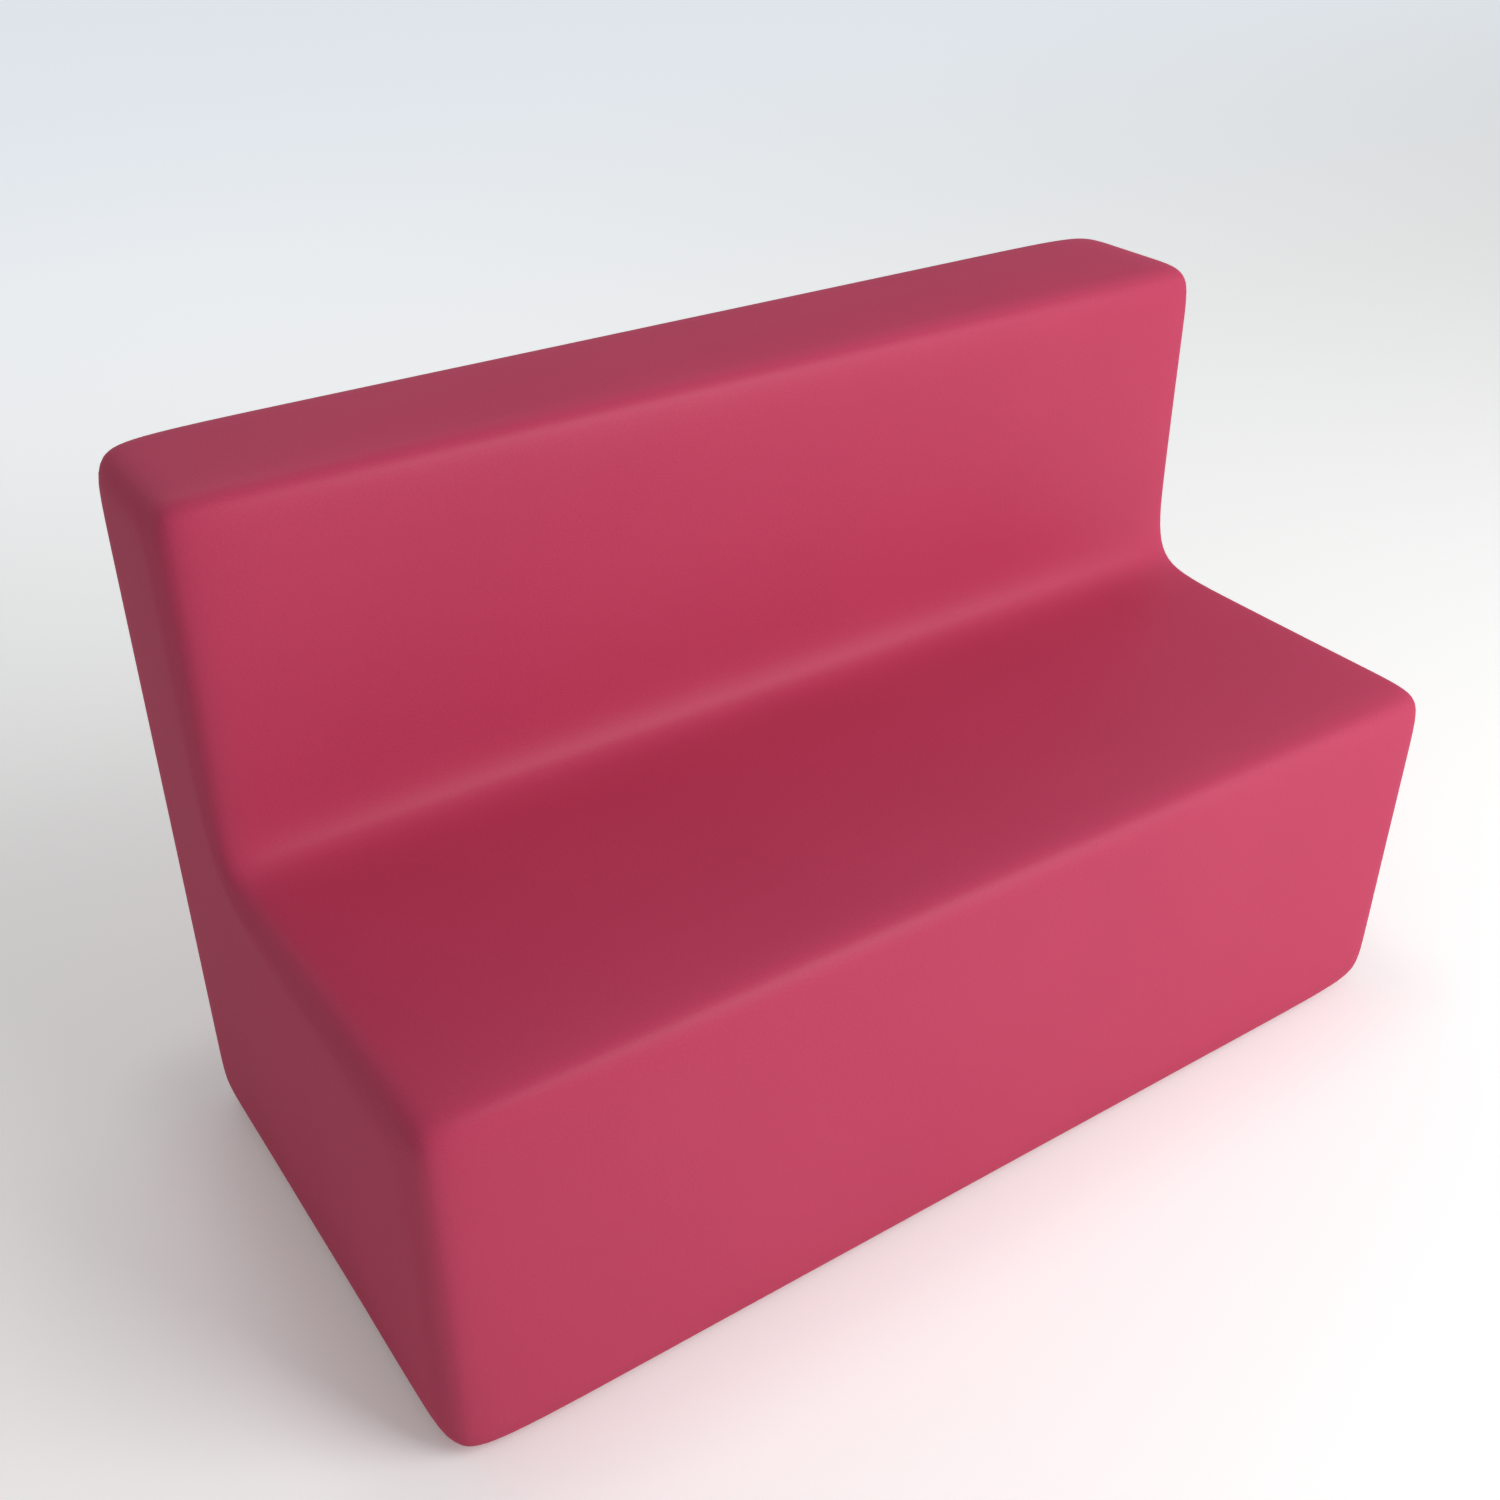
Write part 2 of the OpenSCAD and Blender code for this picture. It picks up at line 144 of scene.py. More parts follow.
# Painted shade: the glow fades towards the sofa's foot, so the contact shadow stays dark
painted_foot_shade = add(t, "ShaderNodeMapRange", {2: painted_shade_reach, 3: painted_shade_glow_share, 4: 1.0}, {0: away.outputs["Value"]},
           interpolation_type="SMOOTHSTEP")
tone = add(t, "ShaderNodeMix", {6: near_tone, 7: far_tone}, {0: far.outputs[0]}, data_type="RGBA")
glow_with_painted_shade = add(t, "ShaderNodeMath", links={0: level.outputs[0], 1: painted_foot_shade.outputs[0]}, operation="MULTIPLY")
rays = add(t, "ShaderNodeLightPath")
seen = add(t, "ShaderNodeMath", links={0: rays.outputs["Is Camera Ray"], 1: rays.outputs["Is Glossy Ray"]},
           operation="MAXIMUM")
glow = add(t, "ShaderNodeMath", links={0: glow_with_painted_shade.outputs[0], 1: seen.outputs[0]}, operation="MULTIPLY")
own = add(t, "ShaderNodeEmission", links={0: tone.outputs[2], 1: glow.outputs[0]})
matt = add(t, "ShaderNodeBsdfDiffuse", {0: paint("#FBFBFB")})
both = add(t, "ShaderNodeAddShader", links={0: matt.outputs[0], 1: own.outputs[0]})
gone = add(t, "ShaderNodeVectorMath", {1: shown_middle}, {0: place.outputs["Object"]}, operation="DISTANCE")
past = add(t, "ShaderNodeMapRange", {1: shown_reach, 2: wall_from}, {0: gone.outputs["Value"]},
           interpolation_type="SMOOTHSTEP")
turned = add(t, "ShaderNodeMath", links={0: past.outputs[0], 1: rays.outputs["Is Camera Ray"]},
             operation="MULTIPLY")
wall = add(t, "ShaderNodeEmission", {0: wall_tone})
ground = add(t, "ShaderNodeMixShader", links={0: turned.outputs[0], 1: both.outputs[0], 2: wall.outputs[0]})
add(t, "ShaderNodeOutputMaterial", links={0: ground.outputs[0]})
floor_mesh.materials.append(studio_floor)

# The room: an even white fill on the sofa, and a pale wall for the camera and for reflections
fill_level = 0.355
room = bpy.data.worlds.new("room")
room.use_nodes = True
room.node_tree.nodes.clear()
t = room.node_tree
rays = add(t, "ShaderNodeLightPath")
fill = add(t, "ShaderNodeBackground", {0: paint("#FFFFFF"), 1: fill_level})
wall = add(t, "ShaderNodeBackground", {0: wall_tone, 1: 1.0})
seen = add(t, "ShaderNodeMath", links={0: rays.outputs["Is Camera Ray"], 1: rays.outputs["Is Glossy Ray"]},
           operation="MAXIMUM")
mixed = add(t, "ShaderNodeMixShader", links={0: seen.outputs[0], 1: fill.outputs[0], 2: wall.outputs[0]})
add(t, "ShaderNodeOutputWorld", links={0: mixed.outputs[0]})
scene.world = room

# White square soft lamps that point at the middle of the sofa
sofa_middle, lamp_side = Vector((0, 0, 0.4)), 2.4
for name, spot, watts in (("key lamp", (1.61, -2.79, 3.10), 81), ("low front lamp", (2.05, -3.56, 1.27), 52),
                          ("rear lamp", (0, 3.22, 3.10), 11)):
    lamp_data = bpy.data.lights.new(name, "AREA")
    lamp_data.shape = "SQUARE"
    lamp_data.size = lamp_side
    lamp_data.energy = watts
    lamp_data.color = paint("#FFFFFF")[:3]
    lamp = bpy.data.objects.new(name, lamp_data)
    lamp.location = spot
    lamp.rotation_mode = "QUATERNION"
    lamp.rotation_quaternion = (sofa_middle - Vector(spot)).to_track_quat("-Z", "Y")
    scene.collection.objects.link(lamp)


# ---- Plywood ends and ribs ------------------------------------------------------------------
# Birch plywood cut to the sofa's side profile: two ends and two ribs with round holes.
# The sawn edges show the plies, and the faces have a pale rotary-cut grain.

plywood = bare_material("birch plywood, sawn")
t = plywood.node_tree
place = add(t, "ShaderNodeTexCoord")
# Rotary-cut grain: long soft streaks about 9 mm apart along the height
grain_map = add(t, "ShaderNodeMapping", {3: (40, 110, 6)}, {0: place.outputs["Object"]})
grain = add(t, "ShaderNodeTexNoise", {"Scale": 1.0, "Detail": 5.0, "Roughness": 0.6},
            {0: grain_map.outputs[0]})
face = add(t, "ShaderNodeMix", {6: paint("#DDBF92"), 7: paint("#C9A26C")}, {0: grain.outputs[0]},
           data_type="RGBA")
# Plies of 1.5 mm, light and dark in turn, across the sheet's thickness, which lies along X.
# A wave texture of scale 1 has its bands pi / 10 apart.
ply = 0.0015
plies = add(t, "ShaderNodeTexWave", {"Scale": math.pi / 10 / (2 * ply), "Distortion": 0.6, "Detail": 1.0},
            {0: place.outputs["Object"]}, wave_type="BANDS", bands_direction="X")
edge = add(t, "ShaderNodeMix", {6: paint("#B98C58"), 7: paint("#E0C79C")}, {0: plies.outputs[1]},
           data_type="RGBA")
shape = add(t, "ShaderNodeNewGeometry")
facing = add(t, "ShaderNodeSeparateXYZ", links={0: shape.outputs["Normal"]})
across = add(t, "ShaderNodeMath", links={0: facing.outputs[0]}, operation="ABSOLUTE")
on_face = add(t, "ShaderNodeMath", {1: 0.7}, {0: across.outputs[0]}, operation="GREATER_THAN")
colour = add(t, "ShaderNodeMix", links={0: on_face.outputs[0], 6: edge.outputs[2], 7: face.outputs[2]},
             data_type="RGBA")
relief = add(t, "ShaderNodeBump", {"Strength": 0.25, "Distance": 0.0004}, {"Height": grain.outputs[0]})
skin = add(t, "ShaderNodeBsdfPrincipled", {"Roughness": 0.62},
           {0: colour.outputs[2], "Normal": relief.outputs[0]})
add(t, "ShaderNodeOutputMaterial", links={0: skin.outputs[0]})


def dress(material, *names):
    """Gives carried-over CAD nodes a material."""
    for name in names:
        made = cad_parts[name]
        if not made.material_slots:
            made.data.materials.append(material)
        for held in made.material_slots:
            held.material = material


dress(plywood, "left_end_panel", "right_end_panel", "left_rib", "right_rib")


# ---- Softwood rails and corner blocks -------------------------------------------------------
# Planed spruce battens between the ends, and glued triangular blocks in the corners.
# Growth rings run along the battens as soft darker lines 4 to 6 mm apart.

softwood = bare_material("spruce, planed")
t = softwood.node_tree
place = add(t, "ShaderNodeTexCoord")
stretched = add(t, "ShaderNodeMapping", {3: (0.7, 30, 30)}, {0: place.outputs["Object"]})
rings = add(t, "ShaderNodeTexWave", {"Scale": 3.0, "Distortion": 5.0, "Detail": 3.0, "Detail Scale": 1.2},
            {0: stretched.outputs[0]}, wave_type="BANDS", bands_direction="DIAGONAL")
colour = add(t, "ShaderNodeMix", {6: paint("#E6C994"), 7: paint("#CFA468")}, {0: rings.outputs[1]},
             data_type="RGBA")
relief = add(t, "ShaderNodeBump", {"Strength": 0.2, "Distance": 0.0003}, {"Height": rings.outputs[1]})
skin = add(t, "ShaderNodeBsdfPrincipled", {"Roughness": 0.58},
           {0: colour.outputs[2], "Normal": relief.outputs[0]})
add(t, "ShaderNodeOutputMaterial", links={0: skin.outputs[0]})
dress(softwood, "front_base_rail", "rear_base_rail", "front_seat_rail", "rear_seat_rail", "rear_middle_rail",
      "top_front_rail", "top_rear_rail", "corner_blocks")


# ---- Hardboard ------------------------------------------------------------------------------
# Thin pressed fibre boards close the front, the rear and the top, so the foam has a flat base.
# Hardboard is brown, smooth and slightly blotchy from its short fibres.

hardboard = bare_material("hardboard, smooth side")
t = hardboard.node_tree
place = add(t, "ShaderNodeTexCoord")
# Blotches of some 17 mm
blotch = add(t, "ShaderNodeTexNoise", {"Scale": 60.0, "Detail": 6.0, "Roughness": 0.7},
             {0: place.outputs["Object"]})
colour = add(t, "ShaderNodeMix", {6: paint("#8C6642"), 7: paint("#A27C55")}, {0: blotch.outputs[0]},
             data_type="RGBA")
relief = add(t, "ShaderNodeBump", {"Strength": 0.15, "Distance": 0.0002}, {"Height": blotch.outputs[0]})
skin = add(t, "ShaderNodeBsdfPrincipled", {"Roughness": 0.5},
           {0: colour.outputs[2], "Normal": relief.outputs[0]})
add(t, "ShaderNodeOutputMaterial", links={0: skin.outputs[0]})
dress(hardboard, "front_board", "rear_board", "top_board")


# ---- Screws ---------------------------------------------------------------------------------
# Zinc-plated steel wood screws hold the rails to the ends and the glides to the base rails.
# The plating is bright and slightly uneven.

zinc = bare_material("steel, zinc plated")
t = zinc.node_tree
place = add(t, "ShaderNodeTexCoord")
# Mottling of about 1 mm in the zinc changes its gloss a little
mottle = add(t, "ShaderNodeTexNoise", {"Scale": 900.0, "Detail": 3.0}, {0: place.outputs["Object"]})
rough = add(t, "ShaderNodeMapRange", {3: 0.28, 4: 0.42}, {0: mottle.outputs[0]})
skin = add(t, "ShaderNodeBsdfPrincipled", {0: paint("#C3C6C9"), "Metallic": 1.0},
           {"Roughness": rough.outputs[0]})
add(t, "ShaderNodeOutputMaterial", links={0: skin.outputs[0]})
dress(zinc, "frame_screws", "glide_screws")


# ---- Elastic webbing ------------------------------------------------------------------------
# Black polypropylene and rubber webbing, stapled to the rails and woven over and under.
# Each strip shows ribs about 2.5 mm apart across its length.

webbing = bare_material("elastic webbing, black")
t = webbing.node_tree
place = add(t, "ShaderNodeTexCoord")
rib = 0.0025
ribs_x = add(t, "ShaderNodeTexWave", {"Scale": math.pi / 10 / rib}, {0: place.outputs["Object"]},
             bands_direction="X")
ribs_y = add(t, "ShaderNodeTexWave", {"Scale": math.pi / 10 / rib}, {0: place.outputs["Object"]},
             bands_direction="Y")
woven = add(t, "ShaderNodeMath", links={0: ribs_x.outputs[1], 1: ribs_y.outputs[1]}, operation="MULTIPLY")
colour = add(t, "ShaderNodeMix", {6: paint("#1C1C1E"), 7: paint("#35353A")}, {0: woven.outputs[0]},
             data_type="RGBA")
relief = add(t, "ShaderNodeBump", {"Strength": 0.6, "Distance": 0.0004}, {"Height": woven.outputs[0]})
skin = add(t, "ShaderNodeBsdfPrincipled", {"Roughness": 0.7},
           {0: colour.outputs[2], "Normal": relief.outputs[0]})
add(t, "ShaderNodeOutputMaterial", links={0: skin.outputs[0]})
dress(webbing, "seat_webbing", "seat_cross_webbing", "back_webbing")


# ---- Seat lining ----------------------------------------------------------------------------
# A thin spunbond cloth lies between the webbing and the seat foam, so the foam doesn't chafe.
# It is stapled to the frame's top edges and lies nearly flat.

def meshed(name, points, faces, material, smooth=True):
    """An object at the origin with its place in its mesh, in metres."""
    data = bpy.data.meshes.new(name)
    data.from_pydata([tuple(p) for p in points], [], [tuple(f) for f in faces])
    data.materials.append(material)
    if smooth:
        data.shade_smooth()
    made = bpy.data.objects.new(name, data)
    scene.collection.objects.link(made)
    return made


def thicken(piece, thickness, offset=0):
    """Gives a cloth its thickness, half of it to each side, or all of it inwards for an offset of -1."""
    wall = piece.modifiers.new("thickness", "SOLIDIFY")
    wall.thickness = thickness
    wall.offset = offset


# Spunbond polypropylene: a matt cloth pressed with a lattice of dots 2 mm apart
spunbond = bare_material("spunbond cloth, black")
t = spunbond.node_tree
place = add(t, "ShaderNodeTexCoord")
dots = add(t, "ShaderNodeTexVoronoi", {"Scale": 500.0, "Randomness": 0.25}, {0: place.outputs["Object"]})
fibres = add(t, "ShaderNodeTexNoise", {"Scale": 700.0, "Detail": 4.0}, {0: place.outputs["Object"]})
pressed = add(t, "ShaderNodeMath", links={0: dots.outputs["Distance"], 1: fibres.outputs[0]},
              operation="MULTIPLY")
colour = add(t, "ShaderNodeMix", {6: paint("#141416"), 7: paint("#26262A")}, {0: pressed.outputs[0]},
             data_type="RGBA")
relief = add(t, "ShaderNodeBump", {"Strength": 0.5, "Distance": 0.0003}, {"Height": pressed.outputs[0]})
skin = add(t, "ShaderNodeBsdfPrincipled", {"Roughness": 0.85, "Sheen Weight": 0.15},
           {0: colour.outputs[2], "Normal": relief.outputs[0]})
add(t, "ShaderNodeOutputMaterial", links={0: skin.outputs[0]})

spunbond_t = 0.0004
low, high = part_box("seat_lining")
nx, ny = 60, 24
xs, ys = np.linspace(low.x, high.x, nx), np.linspace(low.y, high.y, ny)
lining_points = [(x, y, (low.z + high.z) / 2) for y in ys for x in xs]
lining_faces = [(j * nx + i, j * nx + i + 1, (j + 1) * nx + i + 1, (j + 1) * nx + i)
                for j in range(ny - 1) for i in range(nx - 1)]
lining = meshed("seat_lining_cloth", lining_points, lining_faces, spunbond)
thicken(lining, spunbond_t)
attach(lining, "root")
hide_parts("seat_lining")


# ---- Foam -----------------------------------------------------------------------------------
# Cut blocks of polyurethane foam glued to the boards and to each other. Together they have the
# sofa's form, a cubic blend through control points round the side view, a little inside the cover.

sofa_w, sofa_d, seat_h, back_h, back_t = 1.350, 0.668, 0.451, 0.857, 0.216
# How far the control points stand from each edge and from the hollow's corner
edge_soft, crease_soft = 0.057, 0.095
# The ends turn in over this width. Their outline is drawn in by end_in, and at last by end_reach.
end_soft, end_in = 0.090, 0.060
end_reach = min(1.6 * end_in, 0.45 * back_t)
# In the hollow the ends are drawn in less, by these shares at its corner and beside it
corner_share, beside_share = 0.42, 0.85
# The underside's height, and how much further down the form would reach if nothing pressed it flat
sole_z, sole_press = 0.0055, 0.0045


def filled(loops, pitch, inside_of):
    """Points and triangles that fill flat loops, with a lattice of points between them."""
    points = [Vector(p) for loop in loops for p in loop]
    edges, first = [], 0
    for loop in loops:
        n = len(loop)
        edges += [(first + i, first + (i + 1) % n) for i in range(n)]
        first += n
    low = np.min(loops[0], axis=0)
    high = np.max(loops[0], axis=0)
    border = np.array([tuple(p) for p in points])
    for i in range(int((high[0] - low[0]) / pitch)):
        for j in range(int((high[1] - low[1]) / pitch)):
            p = np.array([low[0] + (i + 0.5) * pitch, low[1] + (j + 0.5) * pitch])
            if inside_of(p) and np.min(np.sum((border - p) ** 2, axis=1)) > (0.6 * pitch) ** 2:
                points.append(Vector(p))
    made = geometry.delaunay_2d_cdt(points, edges, [], 0, 1e-7)
    flat = [tuple(p) for p in made[0]]
    faces = [f for f in made[2] if inside_of(np.mean([flat[v] for v in f], axis=0))]
    return flat, faces


def weights(t):
    """The shares of four control points in a cubic blend, from t = 0 to 1."""
    return np.array([(1 - t) ** 3, 3 * t ** 3 - 6 * t ** 2 + 4,
                     -3 * t ** 3 + 3 * t ** 2 + 3 * t + 1, t ** 3]) / 6


def side_controls(inside, drawn):
    """Control points round the side view, three at each corner, inside the faces and drawn in further.

    They run up the front, back along the seat, up the back, over it and down the rear.
    """
    deep = inside + drawn
    f, r, c = -sofa_d / 2 + deep, sofa_d / 2 - deep, sofa_d / 2 - back_t + deep
    s, h, t = sole_z - sole_press + deep, seat_h - deep, back_h - deep
    corner, beside = inside + corner_share * drawn, inside + beside_share * drawn
    face, seat = sofa_d / 2 - back_t, seat_h
    e, k = edge_soft, crease_soft
    w = min(edge_soft, (r - c) / 2)
    return np.array([
        (f + e, s), (f, s), (f, s + e), (f, h - e), (f, h), (f + e, h),
        (face + corner - k, seat - beside), (face + corner, seat - corner),
        (face + beside, seat - corner + k),
        (c, t - e), (c, t), (c + w, t), (r - w, t), (r, t), (r, t - e), (r, s + e), (r, s), (r - e, s)])


def side_outline(controls, curved, pitch):
    """Points round the side view: so many on each curved stretch, and one every pitch on a straight one."""
    made, n = [], len(controls)
    outer = side_controls(0, 0)
    for i in range(n):
        stretch = np.linalg.norm(outer[(i + 1) % n] - outer[i])
        steps = max(1, round(stretch / pitch)) if i % 3 == 2 else curved
        for s in range(steps):
            w = weights(s / steps)
            made.append(sum(w[j] * controls[(i - 1 + j) % n] for j in range(4)))
    return np.array(made)


def form(inside, curved, pitch):
    """Rings round the sofa from its left end to its right one: an array of rings, points and X, Y, Z.

    Each end blends five outlines, three of them whole and two drawn in, and the right end mirrors the left.
    """
    x = sofa_w / 2 - inside
    xs = [x - end_soft, end_soft - x, -x, -x, -x]
    outlines = [side_controls(inside, drawn) for drawn in (0, 0, 0, end_in, end_reach)]
    left = []
    for span, steps in ((0, 2 * curved), (1, curved)):
        for s in range(steps + (1 if span else 0)):
            w = weights(s / steps)
            ring = side_outline(sum(w[j] * outlines[span + j] for j in range(4)), curved, pitch)
            left.append(np.column_stack([np.full(len(ring), w @ xs[span:span + 4]), ring]))
    left = np.array(left)
    middle_x = np.linspace(left[0, 0, 0], -left[0, 0, 0], max(2, round(-2 * left[0, 0, 0] / pitch)))[1:-1]
    middle = np.array([np.column_stack([np.full(left.shape[1], v), left[0, :, 1:]]) for v in middle_x])
    right = left * np.array([-1, 1, 1])
    rings = np.concatenate([left[::-1], middle, right])
    rings[:, :, 2] = np.maximum(rings[:, :, 2], sole_z + inside)
    return rings


def in_outline(ring):
    """A test whether a point of the side view lies inside a ring."""
    y, z = ring[:, 1], ring[:, 2]
    y2, z2 = np.roll(y, -1), np.roll(z, -1)

    def test(p):
        crosses = (z > p[1]) != (z2 > p[1])
        with np.errstate(divide="ignore", invalid="ignore"):
            at = y + (p[1] - z) * (y2 - y) / (z2 - z)
        return bool(np.count_nonzero(crosses & (at > p[0])) % 2)
    return test


def block(inside, curved, pitch):
    """The closed form as points and faces; the faces of the two ends come last."""
    rings = form(inside, curved, pitch)
    m, n = rings.shape[:2]
    points = [tuple(p) for p in rings.reshape(-1, 3)]
    faces = [(i * n + j, (i + 1) * n + j, (i + 1) * n + (j + 1) % n, i * n + (j + 1) % n)
             for i in range(m - 1) for j in range(n)]
    walls = len(faces)
    for ring, first, flip in ((rings[0], 0, True), (rings[-1], (m - 1) * n, False)):
        flat, cap = filled([[tuple(p) for p in ring[:, 1:]]], pitch, in_outline(ring))
        index = list(range(first, first + n))
        for y, z in flat[n:]:
            index.append(len(points))
            points.append((ring[0, 0], y, z))
        faces += [tuple(index[v] for v in (f[::-1] if flip else f)) for f in cap]
    return points, faces, walls


# Open-cell foam: off-white, matt, with cells of about 0.8 mm drawn as 2 mm so that they show
foam = bare_material("polyurethane foam, cut")
t = foam.node_tree
place = add(t, "ShaderNodeTexCoord")
cells = add(t, "ShaderNodeTexVoronoi", {"Scale": 500.0}, {0: place.outputs["Object"]})
aged = add(t, "ShaderNodeTexNoise", {"Scale": 5.0, "Detail": 2.0}, {0: place.outputs["Object"]})
colour = add(t, "ShaderNodeMix", {6: paint("#ECE6D4"), 7: paint("#E0D5B8")}, {0: aged.outputs[0]},
             data_type="RGBA")
relief = add(t, "ShaderNodeBump", {"Strength": 0.7, "Distance": 0.0008},
             {"Height": cells.outputs["Distance"]})
skin = add(t, "ShaderNodeBsdfPrincipled", {"Roughness": 0.95},
           {0: colour.outputs[2], "Normal": relief.outputs[0]})
add(t, "ShaderNodeOutputMaterial", links={0: skin.outputs[0]})

foam_in, foam_curved, foam_pitch = 0.004, 6, 0.045
whole = meshed("whole foam form", *block(foam_in, foam_curved, foam_pitch)[:2], foam)
cutter_faces = [(0, 1, 3, 2), (4, 6, 7, 5), (0, 4, 5, 1), (2, 3, 7, 6), (0, 2, 6, 4), (1, 5, 7, 3)]
cutter = meshed("foam cutter", [(x, y, z) for x in (0, 1) for y in (0, 1) for z in (0, 1)],
                cutter_faces, foam, smooth=False)
cut = whole.modifiers.new("cut", "BOOLEAN")
cut.operation = "INTERSECT"
cut.solver = "EXACT"
cut.object = cutter
# A side that isn't sawn is left to the form: the cutter reaches far past it
past_form = 1.0
# The sides of each block that are sawn, in the order left, right, front, rear, bottom, top
foam_sides = {
    "seat_foam": (0, 0, 0, 1, 1, 1), "back_foam": (0, 0, 1, 1, 1, 1), "crease_cove": (0, 0, 1, 1, 1, 1),
    "front_foam": (0, 0, 0, 1, 0, 1), "rear_foam": (0, 0, 1, 0, 0, 1), "top_foam": (0, 0, 0, 0, 1, 0),
    "left_lower_foam": (0, 1, 1, 1, 0, 1), "right_lower_foam": (1, 0, 1, 1, 0, 1),
    "left_upper_foam": (0, 1, 1, 1, 1, 1), "right_upper_foam": (1, 0, 1, 1, 1, 1),
}
for name, (x0, x1, y0, y1, z0, z1) in foam_sides.items():
    low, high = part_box(name)
    xs = low.x if x0 else -past_form, high.x if x1 else past_form
    ys = low.y if y0 else -past_form, high.y if y1 else past_form
    zs = low.z if z0 else -past_form, high.z if z1 else past_form
    cutter.data.vertices.foreach_set("co", [c for x in xs for y in ys for z in zs for c in (x, y, z)])
    cutter.data.update()
    cutter.update_tag()
    bpy.context.view_layer.update()
    piece_mesh = bpy.data.meshes.new_from_object(whole.evaluated_get(bpy.context.evaluated_depsgraph_get()))
    piece_mesh.name = name + "_block"
    piece = bpy.data.objects.new(name + "_block", piece_mesh)
    scene.collection.objects.link(piece)
    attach(piece, "root")
    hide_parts(name)
bpy.data.objects.remove(cutter)
bpy.data.objects.remove(whole)


# ---- Cover ----------------------------------------------------------------------------------
# One piece of raspberry red stretch fabric, heat-set to the block's form, so no seam shows.
# It is pulled tight over the foam, turned under the bottom edge and stapled to the frame.

knit = bare_material("brushed stretch knit, raspberry")
t = knit.node_tree
thread = add(t, "ShaderNodeUVMap", uv_map="thread")
place = add(t, "ShaderNodeTexCoord")
# Broad, weak variation of the dye and the nap over some 200 mm
nap = add(t, "ShaderNodeTexNoise", {"Scale": 5.0, "Detail": 2.0, "Roughness": 0.4},
          {0: place.outputs["Object"]})
# Stitches of 0.6 mm are too fine to show, so rows are drawn 1.6 mm apart with stitches 4 mm long
rows_map = add(t, "ShaderNodeMapping", {3: (250, 620, 1)}, {0: thread.outputs[0]})
rows = add(t, "ShaderNodeTexNoise", {"Scale": 1.0, "Detail": 2.0, "Roughness": 0.55},
           {0: rows_map.outputs[0]})
tint = add(t, "ShaderNodeMix", {6: paint("#B93C5C"), 7: paint("#BF4060")}, {0: nap.outputs[0]},
           data_type="RGBA")
fleck = add(t, "ShaderNodeMapRange", {1: 0.35, 2: 0.65, 3: 0.97, 4: 1.03}, {0: rows.outputs[0]})
colour = add(t, "ShaderNodeVectorMath", links={0: tint.outputs[2], 1: fleck.outputs[0]},
             operation="MULTIPLY")
relief = add(t, "ShaderNodeBump", {"Strength": 0.45, "Distance": 0.0004}, {"Height": rows.outputs[0]})
# The threads shine softly where they are seen straight on, and look matt at a flat angle
gaze = add(t, "ShaderNodeLayerWeight", {"Blend": 0.5})
rough = add(t, "ShaderNodeMapRange", {1: 0.3, 2: 0.7, 3: 0.42, 4: 0.68}, {0: gaze.outputs["Facing"]},
            interpolation_type="SMOOTHSTEP")
skin = add(t, "ShaderNodeBsdfPrincipled", {"Specular IOR Level": 0.15},
           {0: colour.outputs[0], "Roughness": rough.outputs[0], "Normal": relief.outputs[0]})
add(t, "ShaderNodeOutputMaterial", links={0: skin.outputs[0]})

cover_t, cover_curved, cover_pitch = 0.002, 8, 0.014
# The turned-in edge underneath ends this far from the sofa's middle
hem_x, hem_y = 0.6027, 0.2577
points, faces, walls = block(0, cover_curved, cover_pitch)
at = np.array(points)
kept = []
for i, f in enumerate(faces):
    mid = at[list(f)].mean(axis=0)
    if mid[2] > sole_z + 0.0005 or abs(mid[0]) > hem_x or abs(mid[1]) > hem_y:
        kept.append(i)
cover = meshed("cover_fabric", points, [faces[i] for i in kept], knit)

# Thread directions: rows run along the width and up the ends, measured on the cloth in metres
rings = form(0, cover_curved, cover_pitch)
m, n = rings.shape[:2]
round_way = np.concatenate([[0], np.cumsum(np.linalg.norm(np.diff(rings[m // 2], axis=0), axis=1))])
round_way = np.append(round_way, round_way[-1] + np.linalg.norm(rings[m // 2, 0] - rings[m // 2, -1]))
long_way = np.concatenate([[0], np.cumsum(np.linalg.norm(np.diff(rings[:, n // 3], axis=0), axis=1))])
layer = cover.data.uv_layers.new(name="thread")
uvs = []
for i in kept:
    f = faces[i]
    if i < walls:
        r, c = divmod(i, n)
        uvs += [(long_way[r], round_way[c]), (long_way[r + 1], round_way[c]),
                (long_way[r + 1], round_way[c + 1]), (long_way[r], round_way[c + 1])]
    else:
        uvs += [(at[v][1], at[v][2]) for v in f]
layer.data.foreach_set("uv", np.array(uvs).ravel())

# Loose points of the opening go, then the cloth is stretched: air pressure stands for the foam
mesh = bmesh.new()
mesh.from_mesh(cover.data)
bmesh.ops.delete(mesh, geom=[v for v in mesh.verts if not v.link_faces], context="VERTS")
mesh.to_mesh(cover.data)
mesh.free()

cloth_steps, hem_rise, evenings = 20, 0.004, 12
rest = np.array([v.co for v in cover.data.vertices])
outward = np.array([v.normal for v in cover.data.vertices])
hem = cover.vertex_groups.new(name="hem")
hem.add([i for i, p in enumerate(rest) if p[2] < sole_z + hem_rise], 1.0, "REPLACE")
pull = cover.modifiers.new("pull", "CLOTH")
pull.settings.quality = 6
pull.settings.mass = 0.3
pull.settings.tension_stiffness = 60
pull.settings.compression_stiffness = 60
pull.settings.shear_stiffness = 30
pull.settings.bending_stiffness = 2
pull.settings.use_pressure = True
pull.settings.uniform_pressure_force = 1.0
pull.settings.vertex_group_mass = "hem"
pull.settings.effector_weights.gravity = 0
pull.collision_settings.use_collision = False
pull.point_cache.frame_end = cloth_steps
for step in range(1, cloth_steps + 1):
    scene.frame_set(step)
moved = cover.evaluated_get(bpy.context.evaluated_depsgraph_get()).to_mesh()
